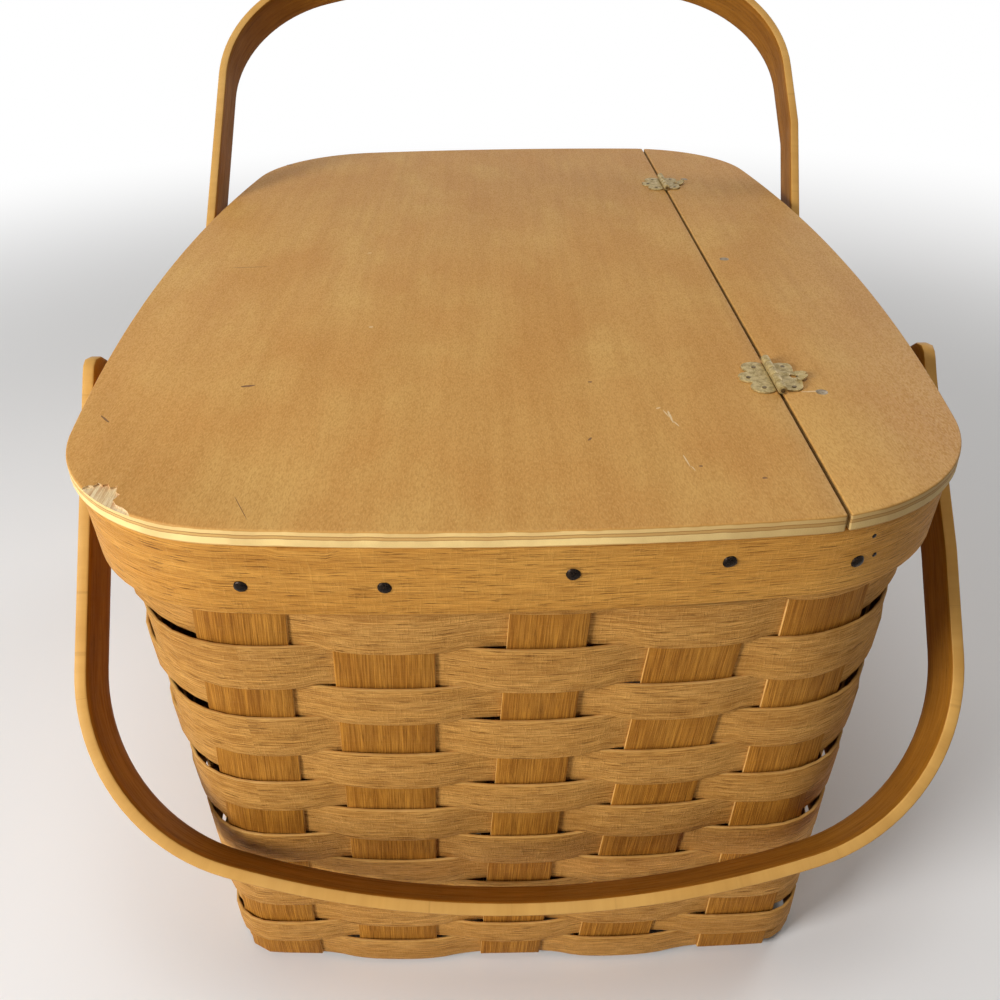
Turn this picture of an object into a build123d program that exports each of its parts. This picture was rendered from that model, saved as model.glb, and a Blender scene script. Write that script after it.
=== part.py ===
from build123d import *
from math import asin, atan2, cos, degrees, hypot, radians, sin, sqrt
import os

# Lidded picnic basket woven from flat wood strips, with a plywood lid hinged
# to a fixed strip and two swinging bentwood handles. Millimetres, +Z up, +X to
# the hinge side, +Y along the basket. The origin is the middle of the base.

# Lid board
lid_width = 335.0
lid_length = 482.0
lid_thickness = 6.3
lid_side_bow = 20.4
lid_end_bow = 10.5
lid_corner = 73.0
lid_edge_bevel = 0.8
basket_height = 262.0
hinge_line = 100.0
saw_gap = 0.8
lid_rest_gap = 0.1

# Woven wall: the middle of the stakes is the wall's middle surface
base_width = 262.0
base_length = 410.0
base_side_bow = 4.0
base_end_bow = 3.0
base_corner = 16.0
strip_thickness = 1.6
weave_gap = 0.15
row_height = 16.6
row_gap = 0.3
row_count = 13
rim_row_height = 13.0
rows_start = 37.8
crossing_margin = 1.5
corner_steps = 3

# Stakes: five run the length of the basket, seven run across it
stake_width = 31.0
long_stake_count = 5
long_stake_inset = 30.0
cross_stake_count = 7
cross_stake_inset = 46.0
fold_setback = 2.0

# Rim bands
rim_height = 28.0
rim_thickness = 3.5
rim_room = 3.9
rim_overhang = 1.0

# Handles
handle_thickness = 5.0
handle_strip_width = 24.0
handle_reach = 209.0
handle_rise = 97.0
handle_shoulder = 84.0
handle_stub = 25.0
handle_stub_bevel = 2.5
handle_hang_gap = 7.4
pivot_stake_count = 2
pivot_below_top = 20.0
raised_angle = 50.0

# Rivets and spacers
rivet_radius = 2.4
pivot_clearance = 0.05
drill_clearance = 0.1
rivet_head_radius = 5.5
rivet_head_height = 2.2
rivet_tail_radius = 5.0
rivet_tail_height = 1.2
side_play = 0.2
spacer_radius = 6.5
spacer_length = 8.0
round_side_count = 8

# Tacks, nails and brads, whose shanks are square
head_side_count = 6
shank_side_count = 4
tack_head_radius = 2.2
tack_head_height = 0.9
tack_shank_width = 1.2
tack_length = 3.0
nail_head_radius = 2.4
nail_head_height = 0.6
nail_head_stand = 0.1
nail_shank_width = 1.4
nail_length = 18.0
middle_nail_inset = 10.5
end_nail_inset = 15.0
end_nail_offset = 152.0
brad_radius = 0.8
brad_length = 24.0
brad_depths = (12.0, 18.0)

# Batten below the hinge line
batten_width = 22.0
batten_height = 18.0
batten_offset = 8.0
batten_gap = 0.2

# Hinges
hinge_offset = 140.0
leaf_thickness = 0.6
knuckle_radius = 1.7
knuckle_lift = 0.05
hinge_pin_radius = 0.8
hinge_pin_clearance = 0.05
barrel_length = 29.0
knuckle_count = 5
knuckle_gap = 0.2
leaf_setback = 0.3
side_lobe_radius = 5.2
side_lobe_reach = 5.6
side_lobe_pitch = 18.0
tip_lobe_radius = 5.6
tip_lobe_reach = 9.6
tip_notch_radius = 1.1
leaf_eye_radius = 1.7
leaf_eye_pitch = 6.4
pin_head_radius = 0.9
pin_head_height = 0.35
pin_shank_width = 0.8
pin_length = 4.0

# Levels and places that follow from the sizes above
long_stake_pitch = (base_width - 2 * long_stake_inset) / (long_stake_count - 1)
cross_stake_pitch = (base_length - 2 * cross_stake_inset) / (cross_stake_count - 1)
pivot_from_middle = pivot_stake_count * cross_stake_pitch
lid_bottom = basket_height - lid_thickness
rim_top = lid_bottom - lid_rest_gap
rim_bottom = lid_bottom - rim_height
pivot_height = basket_height - pivot_below_top
row_pitch = row_height + row_gap
weave_offset = strip_thickness + weave_gap
stake_level = weave_offset
wall_inset = rim_overhang + rim_thickness + rim_room
hinge_axis_height = basket_height + knuckle_radius + knuckle_lift

os.makedirs("parts", exist_ok=True)


def mix(low, high, share):
    return low + (high - low) * share


def section(z):
    """Half width, half length, bows and corner radius of the wall at a height."""
    share = z / lid_bottom
    return (
        mix(base_width, lid_width - 2 * wall_inset, share) / 2,
        mix(base_length, lid_length - 2 * wall_inset, share) / 2,
        mix(base_side_bow, lid_side_bow, share),
        mix(base_end_bow, lid_end_bow, share),
        mix(base_corner, lid_corner - wall_inset, share),
    )


def bow_radius(half_span, bow):
    return (half_span**2 + bow**2) / (2 * bow)


def half_extent(place, crest, half_span, bow, corner_centre, corner):
    """Distance from the middle line to a bowed edge, with its corner rounded."""
    across, along = corner_centre
    if place > across:
        return along + sqrt(max(corner**2 - (place - across) ** 2, 0))
    radius = bow_radius(half_span, bow)
    return crest - radius + sqrt(radius**2 - place**2)


def corner_centre(half_width, half_length, side_bow, end_bow, corner):
    """Middle of the corner arc, which touches the side arc and the end arc."""
    side_radius = bow_radius(half_length - end_bow, side_bow)
    end_radius = bow_radius(half_width - side_bow, end_bow)
    side_middle = half_width - side_radius
    end_middle = half_length - end_radius
    apart = hypot(side_middle, end_middle)
    to_side = side_radius - corner
    to_end = end_radius - corner
    along = (to_side**2 - to_end**2 + apart**2) / (2 * apart)
    off = sqrt(to_side**2 - along**2)
    unit_x, unit_y = -side_middle / apart, end_middle / apart
    return (
        side_middle + along * unit_x - off * unit_y,
        along * unit_y + off * unit_x,
    )


def wall_section(z, outward):
    half_width, half_length, side_bow, end_bow, corner = section(z)
    return half_width + outward, half_length + outward, side_bow, end_bow, corner + outward


def end_distance(x, z, outward=0):
    """How far the end wall, moved outward, stands from the middle of the basket at x."""
    half_width, half_length, side_bow, end_bow, corner = wall_section(z, outward)
    centre = corner_centre(half_width, half_length, side_bow, end_bow, corner)
    span = half_width - side_bow
    return half_extent(abs(x), half_length, span, end_bow, centre, corner)


def side_distance(y, z, outward=0):
    """How far the side wall, moved outward, stands from the middle of the basket at y."""
    half_width, half_length, side_bow, end_bow, corner = wall_section(z, outward)
    across, along = corner_centre(half_width, half_length, side_bow, end_bow, corner)
    span = half_length - end_bow
    return half_extent(abs(y), half_width, span, side_bow, (along, across), corner)


def bowed_outline(z, half_width, half_length, side_bow, end_bow, corner):
    """Face with four bowed edges and rounded corners at a height."""
    corner_x = half_width - side_bow
    corner_y = half_length - end_bow
    with BuildSketch(Plane.XY.offset(z)) as face:
        with BuildLine():
            ThreePointArc((corner_x, -corner_y), (half_width, 0), (corner_x, corner_y))
            ThreePointArc((corner_x, corner_y), (0, half_length), (-corner_x, corner_y))
            ThreePointArc((-corner_x, corner_y), (-half_width, 0), (-corner_x, -corner_y))
            ThreePointArc((-corner_x, -corner_y), (0, -half_length), (corner_x, -corner_y))
        make_face()
        fillet(face.vertices(), corner)
    return face.sketch


def wall_outline(z, outward):
    """Outline of the wall's middle surface, moved outward, at a height."""
    return bowed_outline(z, *wall_section(z, outward))


def stake_places(count, pitch):
    return [pitch * (n - (count - 1) / 2) for n in range(count)]


long_stake_places = stake_places(long_stake_count, long_stake_pitch)
cross_stake_places = stake_places(cross_stake_count, cross_stake_pitch)


def wall_edges(place, distance):
    """The two edges of a stake on its wall, at the floor and under the lid.

    Each edge is (along the wall, out from the middle). At the floor a stake
    lies square to the basket, and at the top it has turned with the rim.
    """
    low = distance(place, 0)
    edges = []
    for side in (-1, 1):
        along = place + side * stake_width / 2
        edges.append(((along, low), (along, distance(along, lid_bottom))))
    return edges


def edge_at(edge, z):
    share = z / lid_bottom
    low, high = edge
    return mix(low[0], high[0], share), mix(low[1], high[1], share)


walls = ("front", "right", "back", "left")


def turned(along, out, wall):
    """Place along a wall and out from the middle of the basket, as X and Y."""
    x, y = along, -out
    for _ in range(walls.index(wall)):
        x, y = -y, x
    return x, y


def wall_of(wall):
    """Stake places along a wall, and the function for how far out it stands."""
    if wall in ("front", "back"):
        return long_stake_places, end_distance
    return cross_stake_places, side_distance


def prisms(planes, side_count, radius, height, mode=Mode.ADD, to_flats=False):
    """A prism on each plane. Its radius is to its corners, or to its flats."""
    with BuildSketch(*planes) as ends:
        RegularPolygon(radius, side_count, major_radius=not to_flats)
    extrude(ends.sketch, amount=height, mode=mode)


def save(piece, name):
    piece.part.label = name
    export_step(piece.part, f"parts/{name}.step")


# Lid board, sawn in two along the hinge line
def lid_board():
    outline = bowed_outline(
        lid_bottom, lid_width / 2, lid_length / 2, lid_side_bow, lid_end_bow, lid_corner
    )
    with BuildPart() as board:
        extrude(outline, amount=lid_thickness)
        chamfer(board.edges().group_by(Axis.Z)[-1], lid_edge_bevel)
    return board.part


with BuildPart() as lid_leaf:
    add(lid_board())
    split(bisect_by=Plane.YZ.offset(hinge_line - saw_gap / 2), keep=Keep.BOTTOM)
save(lid_leaf, "lid_leaf")

with BuildPart() as lid_strip:
    add(lid_board())
    split(bisect_by=Plane.YZ.offset(hinge_line + saw_gap / 2), keep=Keep.TOP)
save(lid_strip, "lid_strip")


# Rim bands: a bent strip outside the wall and one inside it
def pivot_drillings(radius):
    """The four drillings that the handle rivets pass through."""
    planes = [
        Plane(origin=(-lid_width / 2, y, pivot_height), x_dir=(0, 1, 0), z_dir=(1, 0, 0))
        for y in (-pivot_from_middle, pivot_from_middle)
    ]
    prisms(planes, round_side_count, radius, lid_width, Mode.SUBTRACT, to_flats=True)


def rim_band(outside, inside):
    levels = (rim_bottom, rim_top)
    with BuildPart() as band:
        loft([wall_outline(z, outside) for z in levels], ruled=True)
        loft([wall_outline(z, inside) for z in levels], ruled=True, mode=Mode.SUBTRACT)
        pivot_drillings(rivet_radius + drill_clearance)
    return band


rim_outer = rim_band(rim_room + rim_thickness, rim_room)
save(rim_outer, "rim_outer")
rim_inner = rim_band(-rim_room, -rim_room - rim_thickness)
save(rim_inner, "rim_inner")


# Stakes: one flat strip under the basket and up both walls
def stake_profile(plane, foot, slope, crossings, over_first, reach):
    """Side view of a stake from one fold to the other, with stubs of wall.

    Where it meets the other stakes it rises and dips past them; without
    crossings it lies flat at the level of the middle layer.
    """
    level = stake_level
    outer = foot + strip_thickness / 2
    wall = [(outer + slope * z, z) for z in (reach, level + fold_setback)]
    flat_end = outer - fold_setback
    points = [(-out, z) for out, z in wall] + [(-flat_end, level)]
    lift = over_first
    for place in crossings:
        height = level + weave_offset if lift else level - weave_offset
        for side in (-1, 1):
            points.append((place + side * (stake_width / 2 + crossing_margin), height))
        lift = not lift
    points += [(flat_end, level)] + wall[::-1]
    with BuildSketch(plane) as profile:
        with BuildLine():
            Polyline(*points)
            offset(amount=strip_thickness, side=Side.LEFT)
        make_face()
    return profile.sketch


def strip_cut(edges, z, wall):
    """Level cut through a stake's wall part, with its edges at a height."""
    (a1, o1), (a2, o2) = [edge_at(edge, z) for edge in edges]
    share = strip_thickness / 2 / hypot(a2 - a1, o2 - o1)
    n_along, n_out = (o1 - o2) * share, (a2 - a1) * share
    corners = [
        (a1 + n_along, o1 + n_out),
        (a2 + n_along, o2 + n_out),
        (a2 - n_along, o2 - n_out),
        (a1 - n_along, o1 - n_out),
    ]
    with BuildSketch(Plane.XY.offset(z)) as cut:
        with BuildLine():
            Polyline(*[turned(along, out, wall) for along, out in corners], close=True)
        make_face()
    return cut.sketch


join_height = stake_level + strip_thickness + fold_setback


def stake(place, wall, crossings, over_first):
    """Stake that stands in a wall and in the wall opposite."""
    opposite = walls[walls.index(wall) - 2]
    distance = wall_of(wall)[1]
    foot = distance(place, 0)
    slope = (distance(place, lid_bottom) - foot) / lid_bottom
    if wall == "front":
        plane = Plane(origin=(place, 0, 0), x_dir=(0, 1, 0), z_dir=(1, 0, 0))
    else:
        plane = Plane(origin=(0, place, 0), x_dir=(1, 0, 0), z_dir=(0, -1, 0))
    with BuildPart() as strip:
        reach = join_height + strip_thickness
        side_view = stake_profile(plane, foot, slope, crossings, over_first, reach)
        extrude(side_view, amount=stake_width / 2, both=True)
        split(bisect_by=Plane.XY.offset(join_height), keep=Keep.BOTTOM)
        for side, along in ((wall, place), (opposite, -place)):
            edges = wall_edges(along, distance)
            loft([strip_cut(edges, z, side) for z in (join_height, rim_top)], ruled=True)
        pivot_drillings(rivet_radius + drill_clearance)
    return strip


for number, x in enumerate(long_stake_places, 1):
    save(stake(x, "front", [], True), f"long_stake_{number}")

middle = (cross_stake_count - 1) // 2 + (long_stake_count - 1) // 2
for number, y in enumerate(cross_stake_places, 1):
    over_first = (number - 1 + middle) % 2 == 1
    save(stake(y, "right", long_stake_places, over_first), f"cross_stake_{number}")


# Weaver rows: one strip around the wall, in front of every other stake
def corner_bend(before, start, end, after):
    """Points of a bend from one straight stretch to the next, round a corner."""
    first, last = Vector(*start), Vector(*end)
    way_in = (first - Vector(*before)).normalized()
    way_out = (Vector(*after) - last).normalized()
    crossing = way_in.cross(way_out).Z
    corner = first + way_in * ((last - first).cross(way_out).Z / crossing)
    pull = 2 * cos(atan2(crossing, way_in.dot(way_out)) / 2)
    points = []
    for n in range(1, corner_steps):
        share = n / corner_steps
        parts = ((1 - share) ** 2, pull * share * (1 - share), share**2)
        point = (first * parts[0] + corner * parts[1] + last * parts[2]) * (1 / sum(parts))
        points.append((point.X, point.Y))
    return points


def stake_passes(z, outside_first, outward):
    """Start and end of a row's flat stretch at every stake, in order round the wall."""
    runs = []
    outside = outside_first
    for wall in walls:
        places, distance = wall_of(wall)
        passes = []
        for place in places:
            (a1, o1), (a2, o2) = [edge_at(edge, z) for edge in wall_edges(place, distance)]
            length = hypot(a2 - a1, o2 - o1)
            way_along, way_out = (a2 - a1) / length, (o2 - o1) / length
            away = outward + (weave_offset if outside else -weave_offset)
            before, after = [
                (
                    a + side * way_along * crossing_margin - way_out * away,
                    o + side * way_out * crossing_margin + way_along * away,
                )
                for a, o, side in ((a1, o1, -1), (a2, o2, 1))
            ]
            passes.append((turned(*before, wall), turned(*after, wall)))
            outside = not outside
        runs.append(passes)
    return runs


def weaver_outline(z, outside_first, outward):
    """Closed outline of a row at a height, waving past the stakes."""
    outline = []
    runs = stake_passes(z, outside_first, outward)
    for number, passes in enumerate(runs):
        outline += corner_bend(*runs[number - 1][-1], *passes[0])
        for start, end in passes:
            outline += [start, end]
    return outline


def weaver_face(z, outside_first, outward):
    with BuildSketch(Plane.XY.offset(z)) as face:
        with BuildLine():
            Polyline(*weaver_outline(z, outside_first, outward), close=True)
        make_face()
    return face.sketch


def weaver(low, high, outside_first):
    half = strip_thickness / 2
    with BuildPart() as row:
        loft([weaver_face(z, outside_first, half) for z in (low, high)], ruled=True)
        loft(
            [weaver_face(z, outside_first, -half) for z in (low, high)],
            ruled=True,
            mode=Mode.SUBTRACT,
        )
    return row


for number in range(row_count + 1):
    top = basket_height - rows_start - row_pitch * (number - 1) - row_gap
    height = row_height
    if number == 0:
        top = basket_height - rows_start + rim_row_height
        height = rim_row_height
    row = weaver(top - height, top, number % 2 == 0)
    save(row, f"weaver_row_{number:02d}")


# Where the handles stand: their arms clear the rim by the spacers
slope_across = (section(lid_bottom)[0] - section(0)[0]) / lid_bottom
slope_along = (section(lid_bottom)[1] - section(0)[1]) / lid_bottom
turn_at_pivot = pivot_from_middle / bow_radius(
    lid_length / 2 - lid_end_bow, lid_side_bow
)


def rim_face_at_pivot(outward, reach, sense):
    """How far out a rim face stands at its nearest or farthest point to the pivot."""
    middle = side_distance(pivot_from_middle, pivot_height, outward)
    return middle + sense * reach * hypot(slope_across, turn_at_pivot)


spacer_seat = rim_face_at_pivot(rim_room + rim_thickness, spacer_radius, 1) + drill_clearance
handle_inside = spacer_seat + spacer_length + side_play
handle_half_width = handle_inside + handle_thickness


def hang_angle():
    """Angle from straight down at which the front handle's grip clears the wall."""
    foot = base_length / 2 + weave_offset + strip_thickness / 2
    reach = handle_reach - handle_thickness
    half_strip = handle_strip_width / 2
    along, across = reach + half_strip * slope_along, reach * slope_along - half_strip
    away = foot + slope_along * pivot_height + handle_hang_gap - pivot_from_middle
    return degrees(asin(away / hypot(along, across)) - atan2(across, along))


# Handles: a straight arm each side, bent round two shoulders into the grip
def handle_line():
    """Outer edge of one handle, from its pivot line (y = 0) to the grip."""
    straight = handle_reach - handle_rise
    inset = handle_half_width - handle_shoulder
    spare = handle_rise - handle_shoulder
    crown = (inset**2 + handle_rise**2 - handle_shoulder**2) / (2 * spare)
    crown_middle = handle_reach - crown
    lean = atan2(straight - crown_middle, inset)
    meet = (crown * cos(lean), crown_middle + crown * sin(lean))
    half_lean = lean / 2
    shoulder = (
        inset + handle_shoulder * cos(half_lean),
        straight + handle_shoulder * sin(half_lean),
    )
    with BuildLine() as line:
        Line((handle_half_width, -handle_stub), (handle_half_width, straight))
        ThreePointArc((handle_half_width, straight), shoulder, meet)
        ThreePointArc(meet, (0, handle_reach), (-meet[0], meet[1]))
        ThreePointArc(
            (-meet[0], meet[1]),
            (-shoulder[0], shoulder[1]),
            (-handle_half_width, straight),
        )
        Line((-handle_half_width, straight), (-handle_half_width, -handle_stub))
    return line


def handle(pivot, lean):
    """Bentwood handle whose grip lies at an angle from straight up, towards +Y."""
    across = Vector(1, 0, 0)
    grip_way = Vector(0, sin(radians(lean)), cos(radians(lean)))
    plane = Plane(origin=(0, pivot, pivot_height), x_dir=across, z_dir=across.cross(grip_way))
    with BuildPart() as strip:
        with BuildSketch(plane):
            with BuildLine():
                add(handle_line().line)
                offset(amount=handle_thickness, side=Side.LEFT)
            make_face()
        extrude(amount=handle_strip_width / 2, both=True)
        stub_ends = strip.faces().sort_by(Axis((0, pivot, pivot_height), grip_way))[:2]
        corners = [edge for end in stub_ends for edge in end.edges().filter_by(Axis.X)]
        chamfer(corners, handle_stub_bevel)
        with Locations((0, pivot, pivot_height)):
            Cylinder(
                rivet_radius + pivot_clearance,
                2 * handle_half_width + handle_thickness,
                rotation=(0, 90, 0),
                mode=Mode.SUBTRACT,
            )
    return strip


front_handle = handle(-pivot_from_middle, hang_angle() - 180)
save(front_handle, "front_handle")
back_handle = handle(pivot_from_middle, raised_angle)
save(back_handle, "back_handle")


# Rivets through both rim bands, with a spacer that holds the arm off the rim
def outward_plane(sense, distance, y):
    """Plane across a pivot line, facing away from the middle of the basket."""
    origin = (sense * distance, y, pivot_height)
    return Plane(origin=origin, x_dir=(0, 1, 0), z_dir=(sense, 0, 0))


for end, y in (("front", -pivot_from_middle), ("back", pivot_from_middle)):
    for side, sense in (("left", -1), ("right", 1)):
        tail = rim_face_at_pivot(-rim_room - rim_thickness, rivet_tail_radius, -1)
        head = handle_half_width + side_play
        start = tail - drill_clearance
        with BuildPart() as rivet:
            for distance, radius, height in (
                (start - rivet_tail_height, rivet_tail_radius, rivet_tail_height),
                (start, rivet_radius, head - start),
                (head, rivet_head_radius, rivet_head_height),
            ):
                prisms([outward_plane(sense, distance, y)], round_side_count, radius, height)
        save(rivet, f"rivet_{end}_{side}")

        seat = [outward_plane(sense, spacer_seat, y)]
        drilling = rivet_radius + drill_clearance
        with BuildPart() as spacer:
            prisms(seat, round_side_count, spacer_radius, spacer_length)
            prisms(
                seat, round_side_count, drilling, spacer_length, Mode.SUBTRACT, to_flats=True
            )
        save(spacer, f"spacer_{end}_{side}")


# Rim tacks: one at every stake that no rivet passes, through the outer band
def rim_tack_planes():
    """A plane on the outer rim at each tack, facing out."""
    height = (rim_top + rim_bottom) / 2
    outward = rim_room + rim_thickness
    step = 1.0
    planes = []
    for wall in walls:
        places, distance = wall_of(wall)
        for place in places:
            if places is cross_stake_places and abs(place) == pivot_from_middle:
                continue
            out = distance(place, height, outward)
            turn = distance(place + step, height, outward) - out
            lean = distance(place, height + step, outward) - out
            x, y = turned(place, out, wall)
            normal_x, normal_y = turned(-turn, step, wall)
            planes.append(Plane(origin=(x, y, height), z_dir=(normal_x, normal_y, -lean)))
    return planes


def nails(planes, head_radius, head_height, shank_width, length):
    """Nails driven square to each plane, with their heads standing on it."""
    prisms(planes, head_side_count, head_radius, head_height)
    prisms(planes, shank_side_count, shank_width / 2, -length, to_flats=True)


with BuildPart() as rim_tacks:
    nails(rim_tack_planes(), tack_head_radius, tack_head_height, tack_shank_width, tack_length)
save(rim_tacks, "rim_tacks")


# Batten under the hinge line, between the end walls
with BuildPart() as strip_batten:
    with Locations((hinge_line + batten_offset, 0, rim_top)):
        Box(
            batten_width,
            lid_length,
            batten_height,
            align=(Align.CENTER, Align.CENTER, Align.MAX),
        )
    inside_rim = -rim_room - rim_thickness - batten_gap
    loft(
        [wall_outline(z, inside_rim) for z in (rim_bottom, rim_top)],
        ruled=True,
        mode=Mode.INTERSECT,
    )
save(strip_batten, "strip_batten")

# Brads through the rim into the ends of the batten
brad_planes = []
for sense in (-1, 1):
    for depth in brad_depths:
        height = basket_height - depth
        x = hinge_line + batten_offset
        face = end_distance(x, height, rim_room + rim_thickness)
        origin = (x, sense * (face - brad_length), height)
        brad_planes.append(Plane(origin=origin, x_dir=(1, 0, 0), z_dir=(0, sense, 0)))
with BuildPart() as batten_brads:
    prisms(brad_planes, head_side_count, brad_radius, brad_length)
save(batten_brads, "batten_brads")

# Nails down through the lid strip into the batten
nail_places = [(hinge_line + middle_nail_inset, 0, basket_height)]
for y in (-end_nail_offset, end_nail_offset):
    nail_places.append((hinge_line + end_nail_inset, y, basket_height))
head_sunk = nail_head_height - nail_head_stand
nail_planes = [Plane(origin=(x, y, z - head_sunk)) for x, y, z in nail_places]
with BuildPart() as strip_nails:
    nails(nail_planes, nail_head_radius, nail_head_height, nail_shank_width, nail_length)
save(strip_nails, "strip_nails")


# Hinges: stamped leaves with lobes, and knuckles rolled round a pin
def leaf_nail_places(sense, y):
    """Nail places of one leaf, as distances along X and Y on the lid."""
    sides = [(sense * side_lobe_reach, y + s * side_lobe_pitch / 2) for s in (-1, 1)]
    return sides + [(sense * tip_lobe_reach, y)]


def hinge_leaf(sense, y, first_knuckle):
    """Leaf on one side of the hinge line with every second knuckle."""
    length = (barrel_length - (knuckle_count - 1) * knuckle_gap) / knuckle_count
    inner_edge = knuckle_radius + leaf_setback
    plate_reach = side_lobe_reach - inner_edge
    places = [
        y - barrel_length / 2 + length / 2 + n * (length + knuckle_gap)
        for n in range(first_knuckle, knuckle_count, 2)
    ]
    nail_marks = leaf_nail_places(sense, y)
    plane = Plane(origin=(hinge_line, 0, basket_height))
    with BuildPart() as leaf:
        with BuildSketch(plane):
            with Locations((sense * (inner_edge + plate_reach / 2), y)):
                Rectangle(plate_reach, side_lobe_pitch)
            with Locations(*nail_marks[:2]):
                RegularPolygon(side_lobe_radius, round_side_count)
            with Locations(nail_marks[2]):
                RegularPolygon(tip_lobe_radius, round_side_count)
            with Locations((sense * (tip_lobe_reach + tip_lobe_radius), y)):
                RegularPolygon(tip_notch_radius, head_side_count, mode=Mode.SUBTRACT)
            with Locations(*[(nail_marks[0][0], y + s * leaf_eye_pitch / 2) for s in (-1, 1)]):
                RegularPolygon(leaf_eye_radius, head_side_count, mode=Mode.SUBTRACT)
            with Locations((0, y)):
                Rectangle(2 * inner_edge, lid_length, mode=Mode.SUBTRACT)
        extrude(amount=leaf_thickness)
        tab_reach = inner_edge - saw_gap / 2
        with BuildSketch(plane):
            with Locations(*[(sense * (saw_gap / 2 + tab_reach / 2), place) for place in places]):
                Rectangle(tab_reach, length)
        extrude(amount=leaf_thickness)
        ends = [
            Plane(
                origin=(hinge_line, place - length / 2, hinge_axis_height),
                x_dir=(1, 0, 0),
                z_dir=(0, 1, 0),
            )
            for place in places
        ]
        bore = hinge_pin_radius + hinge_pin_clearance
        prisms(ends, round_side_count, knuckle_radius, length)
        prisms(ends, round_side_count, bore, length, Mode.SUBTRACT, to_flats=True)
    return leaf


def leaf_nails(sense):
    """The small nails of the leaves on one side of the hinge line."""
    planes = [
        Plane(origin=(hinge_line + x, y, basket_height + leaf_thickness))
        for offset_y in (-hinge_offset, hinge_offset)
        for x, y in leaf_nail_places(sense, offset_y)
    ]
    with BuildPart() as small_nails:
        nails(planes, pin_head_radius, pin_head_height, pin_shank_width, pin_length)
    return small_nails


for end, y in (("front", -hinge_offset), ("back", hinge_offset)):
    save(hinge_leaf(-1, y, 1), f"hinge_{end}_lid_leaf")
    save(hinge_leaf(1, y, 0), f"hinge_{end}_strip_leaf")
    with BuildPart() as pin:
        with Locations((hinge_line, y, hinge_axis_height)):
            Cylinder(hinge_pin_radius, barrel_length, rotation=(90, 0, 0))
    save(pin, f"hinge_{end}_pin")

save(leaf_nails(-1), "hinge_nails_lid")
save(leaf_nails(1), "hinge_nails_strip")
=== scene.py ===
import bpy
from math import acos, asin, atan2, copysign, cos, degrees, floor, hypot, pi, radians, sin, sqrt
from mathutils import Matrix, Vector, noise


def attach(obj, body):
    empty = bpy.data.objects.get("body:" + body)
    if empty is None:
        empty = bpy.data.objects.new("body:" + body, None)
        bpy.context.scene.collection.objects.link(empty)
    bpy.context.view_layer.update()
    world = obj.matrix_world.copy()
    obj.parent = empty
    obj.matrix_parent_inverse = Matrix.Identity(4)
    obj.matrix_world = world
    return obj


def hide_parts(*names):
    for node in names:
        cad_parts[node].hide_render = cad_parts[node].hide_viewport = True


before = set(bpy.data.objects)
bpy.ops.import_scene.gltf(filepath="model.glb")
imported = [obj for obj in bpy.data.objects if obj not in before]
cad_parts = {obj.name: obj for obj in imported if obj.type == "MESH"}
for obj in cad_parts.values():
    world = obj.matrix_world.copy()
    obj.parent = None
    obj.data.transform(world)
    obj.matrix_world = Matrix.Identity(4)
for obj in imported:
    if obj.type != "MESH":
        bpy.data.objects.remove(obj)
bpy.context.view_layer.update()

# STAKES. Flat splints of maple, 31 mm wide, that cross under the basket and stand up in its
# walls. They are rotary cut and oiled, so their face has strong dark streaks along the
# grain, and their sawn edges stay pale. Each is bent up at the floor round a small fold.
mm = 0.001
wall_top = 255.7
# half width, half length, side bow, end bow and corner radius of the wall's middle surface
floor_outline = (131.0, 205.0, 4.0, 3.0, 16.0)
rim_outline = (159.1, 232.6, 20.4, 10.5, 64.6)


def outline_at(height):
    share = height / wall_top
    return outline_arcs(*[a + (b - a) * share for a, b in zip(floor_outline, rim_outline)])


def outline_arcs(half_width, half_length, side_bow, end_bow, corner):
    """The end, corner and side arcs of one quarter: centre, radius, first and last angle."""
    end_radius = ((half_width - side_bow) ** 2 + end_bow**2) / (2 * end_bow)
    side_radius = ((half_length - end_bow) ** 2 + side_bow**2) / (2 * side_bow)
    side_middle = half_width - side_radius
    end_middle = half_length - end_radius
    apart = hypot(side_middle, end_middle)
    to_side = side_radius - corner
    to_end = end_radius - corner
    along = (to_side**2 - to_end**2 + apart**2) / (2 * apart)
    off = sqrt(to_side**2 - along**2)
    unit_x, unit_y = -side_middle / apart, end_middle / apart
    corner_x = side_middle + along * unit_x - off * unit_y
    corner_y = along * unit_y + off * unit_x
    first = atan2(corner_x, corner_y - end_middle)
    second = atan2(corner_x - side_middle, corner_y)
    return [
        (0.0, end_middle, end_radius, 0.0, first),
        (corner_x, corner_y, corner, first, second),
        (side_middle, 0.0, side_radius, second, pi / 2),
    ]


def quarter_length(arcs):
    return sum(radius * (end - start) for _, _, radius, start, end in arcs)


def on_outline(arcs, turn, outward=0.0):
    """Place after some quarter turns from the middle of the front, moved outward."""
    quarter = floor(turn) % 4
    share = turn - floor(turn)
    if quarter % 2:
        share = 1 - share
    distance = share * quarter_length(arcs)
    for centre_x, centre_y, radius, start, end in arcs:
        angle = start + distance / radius
        if angle <= end:
            break
        distance -= radius * (end - start)
    x = centre_x + (radius + outward) * sin(angle)
    y = centre_y + (radius + outward) * cos(angle)
    return (x if quarter < 2 else -x), (y if quarter in (1, 2) else -y)


def turn_along_end(arcs, x):
    """Share of a quarter turn between the middle of an end wall and the place at x."""
    travelled = 0.0
    for centre_x, _, radius, start, end in arcs[:2]:
        angle = asin((abs(x) - centre_x) / radius)
        if angle <= end:
            break
        travelled += radius * (end - start)
    return copysign((travelled + radius * (angle - start)) / quarter_length(arcs), x)


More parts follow.
